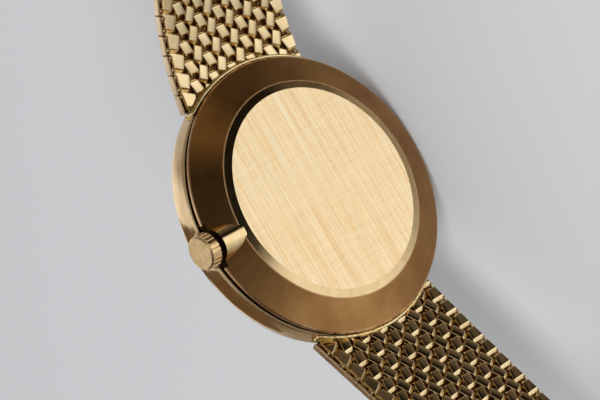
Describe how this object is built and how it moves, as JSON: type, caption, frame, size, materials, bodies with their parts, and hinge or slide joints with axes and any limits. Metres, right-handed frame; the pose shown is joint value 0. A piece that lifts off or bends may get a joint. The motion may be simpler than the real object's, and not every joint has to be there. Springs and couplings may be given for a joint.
{
  "type": "dress watch",
  "caption": "Slim round gold dress watch with a pressed-on back, a fluted crown and a tapering woven brick-link bracelet with a fold-over clasp.",
  "frame": {"origin": "centre of the flat disc on the case back", "axes": "+X towards 6 o'clock, +Y out of the case back, +Z towards 3 o'clock and the crown"},
  "size_m": [0.1058, 0.0736, 0.0337],
  "materials": {
    "polished_gold": "polished 18 ct yellow gold",
    "brushed_gold": "brushed 18 ct yellow gold",
    "bracelet_gold": "polished 18 ct yellow gold",
    "crystal": "clear",
    "dial": "satin",
    "rubber": "matt",
    "rhodium": "fine brushed, rhodium plated",
    "steel": "polished",
    "blued_steel": "blued",
    "ruby": "polished",
    "wheel_brass": "polished"
  },
  "bodies": {
    "case": {"middle_case": "polished_gold", "case_back": "brushed_gold", "back_gasket": "rubber", "bezel": "polished_gold", "crystal": "crystal", "dial": "dial", "hour_markers": "polished_gold", "movement_ring": "wheel_brass", "main_plate": "rhodium", "barrel_bridge": "rhodium", "train_bridge": "rhodium", "pallet_bridge": "rhodium", "balance_cock": "rhodium", "jewels": "ruby", "bridge_screws": "steel", "casing_screws": "steel", "crown_tube": "polished_gold", "upper_end_row": "bracelet_gold", "lower_end_row": "bracelet_gold"},
    "seconds wheel": {"fourth_wheel": "wheel_brass"},
    "centre and minute hand": {"centre_wheel": "wheel_brass", "cannon_pinion": "steel", "minute_hand": "polished_gold"},
    "hour hand": {"hour_wheel": "wheel_brass", "hour_hand": "polished_gold"},
    "minute wheel": {"minute_wheel": "wheel_brass"},
    "third wheel": {"third_wheel": "wheel_brass"},
    "escape wheel": {"escape_wheel": "steel"},
    "barrel": {"barrel": "wheel_brass"},
    "pallet fork": {"pallet_fork": "steel"},
    "balance": {"balance_wheel": "wheel_brass", "hairspring": "blued_steel"},
    "click": {"click": "steel"},
    "ratchet wheel": {"ratchet_wheel": "steel"},
    "crown wheel": {"crown_wheel": "steel"},
    "winding pinion": {"winding_pinion": "steel"},
    "setting lever": {"setting_lever": "steel"},
    "crown and stem": {"crown": "polished_gold", "stem": "steel", "crown_gasket": "rubber"},
    "upper links 1": {"upper_links_1": "bracelet_gold"},
    "upper links 2": {"upper_links_2": "bracelet_gold"},
    "upper links 3": {"upper_links_3": "bracelet_gold"},
    "upper links 4": {"upper_links_4": "bracelet_gold"},
    "upper links 5": {"upper_links_5": "bracelet_gold"},
    "upper links 6": {"upper_links_6": "bracelet_gold"},
    "upper links 7": {"upper_links_7": "bracelet_gold"},
    "lower links 1": {"lower_links_1": "bracelet_gold"},
    "lower links 2": {"lower_links_2": "bracelet_gold"},
    "lower links 3": {"lower_links_3": "bracelet_gold"},
    "lower links 4": {"lower_links_4": "bracelet_gold"},
    "lower links 5": {"lower_links_5": "bracelet_gold"},
    "lower links 6": {"lower_links_6": "bracelet_gold"},
    "lower links 7": {"lower_links_7": "bracelet_gold"},
    "clasp cover": {"clasp_cover": "polished_gold"},
    "clasp blade": {"clasp_blade": "polished_gold"},
    "catch": {"catch_bar": "polished_gold"}
  },
  "joints": [
    {"name": "seconds wheel turn", "type": "hinge", "parent": "case", "child": "seconds wheel", "pos_m": [0.00148, -0.002, -0.00613], "axis": [0, 1, 0], "continuous": true},
    {"name": "minute hand turn", "type": "hinge", "parent": "case", "child": "centre and minute hand", "pos_m": [0, -0.002, 0], "axis": [0, 1, 0], "continuous": true},
    {"name": "hour hand turn", "type": "hinge", "parent": "case", "child": "hour hand", "pos_m": [0, -0.002, 0], "axis": [0, 1, 0], "continuous": true},
    {"name": "minute wheel turn", "type": "hinge", "parent": "case", "child": "minute wheel", "pos_m": [0.00144, -0.002, 0.00249], "axis": [0, 1, 0], "continuous": true},
    {"name": "third wheel turn", "type": "hinge", "parent": "case", "child": "third wheel", "pos_m": [0.00318, -0.002, -0.00318], "axis": [0, 1, 0], "continuous": true},
    {"name": "escape wheel turn", "type": "hinge", "parent": "case", "child": "escape wheel", "pos_m": [-0.00155, -0.002, -0.00666], "axis": [0, 1, 0], "continuous": true},
    {"name": "barrel turn", "type": "hinge", "parent": "case", "child": "barrel", "pos_m": [-0.00416, -0.002, 0.00416], "axis": [0, 1, 0], "continuous": true},
    {"name": "pallet fork swing", "type": "hinge", "parent": "case", "child": "pallet fork", "pos_m": [-0.00435, -0.002, -0.00591], "axis": [0, 1, 0], "range_deg": [-5, 5]},
    {"name": "balance swing", "type": "hinge", "parent": "case", "child": "balance", "pos_m": [-0.00657, -0.002, -0.00532], "axis": [0, 1, 0], "range_deg": [-270, 270], "stiffness_Nm_per_rad": 0.00000049},
    {"name": "click lift", "type": "hinge", "parent": "case", "child": "click", "pos_m": [-0.0081, -0.002, 0.00559], "axis": [0, 1, 0], "range_deg": [0, 8]},
    {"name": "crown pull", "type": "slide", "parent": "case", "child": "setting lever", "axis": [0, 0, 1], "range_m": [0, 0.0008]},
    {"name": "crown turn", "type": "hinge", "parent": "setting lever", "child": "crown and stem", "pos_m": [0, -0.002, 0.016], "axis": [0, 0, 1], "continuous": true},
    {"name": "winding pinion turn", "type": "hinge", "parent": "case", "child": "winding pinion", "pos_m": [0, -0.002, 0.0099], "axis": [0, 0, 1], "continuous": true},
    {"name": "crown wheel turn", "type": "hinge", "parent": "case", "child": "crown wheel", "pos_m": [-0.00123, -0.001, 0.00765], "axis": [0, 1, 0], "continuous": true},
    {"name": "ratchet wheel turn", "type": "hinge", "parent": "case", "child": "ratchet wheel", "pos_m": [-0.00416, -0.001, 0.00416], "axis": [0, 1, 0], "continuous": true},
    {"name": "upper hinge 1", "type": "hinge", "parent": "case", "child": "upper links 1", "pos_m": [-0.01779, -0.00247, 0], "axis": [0, 0, -1], "range_deg": [-12, 6]},
    {"name": "upper hinge 2", "type": "hinge", "parent": "upper links 1", "child": "upper links 2", "pos_m": [-0.02569, 0.00156, 0], "axis": [0, 0, -1], "range_deg": [-12, 6]},
    {"name": "upper hinge 3", "type": "hinge", "parent": "upper links 2", "child": "upper links 3", "pos_m": [-0.03233, 0.00734, 0], "axis": [0, 0, -1], "range_deg": [-9, 6]},
    {"name": "upper hinge 4", "type": "hinge", "parent": "upper links 3", "child": "upper links 4", "pos_m": [-0.03797, 0.01408, 0], "axis": [0, 0, -1], "range_deg": [-9, 6]},
    {"name": "upper hinge 5", "type": "hinge", "parent": "upper links 4", "child": "upper links 5", "pos_m": [-0.0425, 0.02162, 0], "axis": [0, 0, -1], "range_deg": [-9, 6]},
    {"name": "upper hinge 6", "type": "hinge", "parent": "upper links 5", "child": "upper links 6", "pos_m": [-0.04581, 0.02976, 0], "axis": [0, 0, -1], "range_deg": [-9, 6]},
    {"name": "upper hinge 7", "type": "hinge", "parent": "upper links 6", "child": "upper links 7", "pos_m": [-0.04782, 0.03832, 0], "axis": [0, 0, -1], "range_deg": [-9, 6]},
    {"name": "lower hinge 1", "type": "hinge", "parent": "case", "child": "lower links 1", "pos_m": [0.01762, -0.00209, 0], "axis": [0, 0, 1], "range_deg": [-6, 6]},
    {"name": "lower hinge 2", "type": "hinge", "parent": "lower links 1", "child": "lower links 2", "pos_m": [0.02547, 0.00166, 0], "axis": [0, 0, 1], "range_deg": [-6, 6]},
    {"name": "lower hinge 3", "type": "hinge", "parent": "lower links 2", "child": "lower links 3", "pos_m": [0.03329, 0.00554, 0], "axis": [0, 0, 1], "range_deg": [-10, 6]},
    {"name": "lower hinge 4", "type": "hinge", "parent": "lower links 3", "child": "lower links 4", "pos_m": [0.04054, 0.01055, 0], "axis": [0, 0, 1], "range_deg": [-10, 6]},
    {"name": "lower hinge 5", "type": "hinge", "parent": "lower links 4", "child": "lower links 5", "pos_m": [0.04665, 0.01691, 0], "axis": [0, 0, 1], "range_deg": [-10, 6]},
    {"name": "lower hinge 6", "type": "hinge", "parent": "lower links 5", "child": "lower links 6", "pos_m": [0.05134, 0.02437, 0], "axis": [0, 0, 1], "range_deg": [-10, 6]},
    {"name": "lower hinge 7", "type": "hinge", "parent": "lower links 6", "child": "lower links 7", "pos_m": [0.05445, 0.03263, 0], "axis": [0, 0, 1], "range_deg": [-10, 6]},
    {"name": "clasp cover hinge", "type": "hinge", "parent": "upper links 7", "child": "clasp cover", "pos_m": [-0.04849, 0.04709, 0], "axis": [0, 0, -1], "range_deg": [-9, 6]},
    {"name": "clasp blade hinge", "type": "hinge", "parent": "clasp cover", "child": "clasp blade", "pos_m": [-0.04845, 0.06569, 0], "axis": [0, 0, 1], "range_deg": [0, 150]},
    {"name": "catch hinge", "type": "hinge", "parent": "lower links 7", "child": "catch", "pos_m": [0.05584, 0.04134, 0], "axis": [0, 0, 1], "range_deg": [-10, 6]}
  ],
  "couplings": [
    {"joint": "minute hand turn", "follows": "seconds wheel turn", "ratio": 0.016667},
    {"joint": "hour hand turn", "follows": "seconds wheel turn", "ratio": 0.0013889},
    {"joint": "minute wheel turn", "follows": "seconds wheel turn", "ratio": -0.0055556},
    {"joint": "third wheel turn", "follows": "seconds wheel turn", "ratio": -0.13333},
    {"joint": "escape wheel turn", "follows": "seconds wheel turn", "ratio": -10},
    {"joint": "barrel turn", "follows": "seconds wheel turn", "ratio": -0.0027778},
    {"joint": "winding pinion turn", "follows": "crown turn", "ratio": 1},
    {"joint": "crown wheel turn", "follows": "crown turn", "ratio": -0.375},
    {"joint": "ratchet wheel turn", "follows": "crown turn", "ratio": 0.27273}
  ]
}
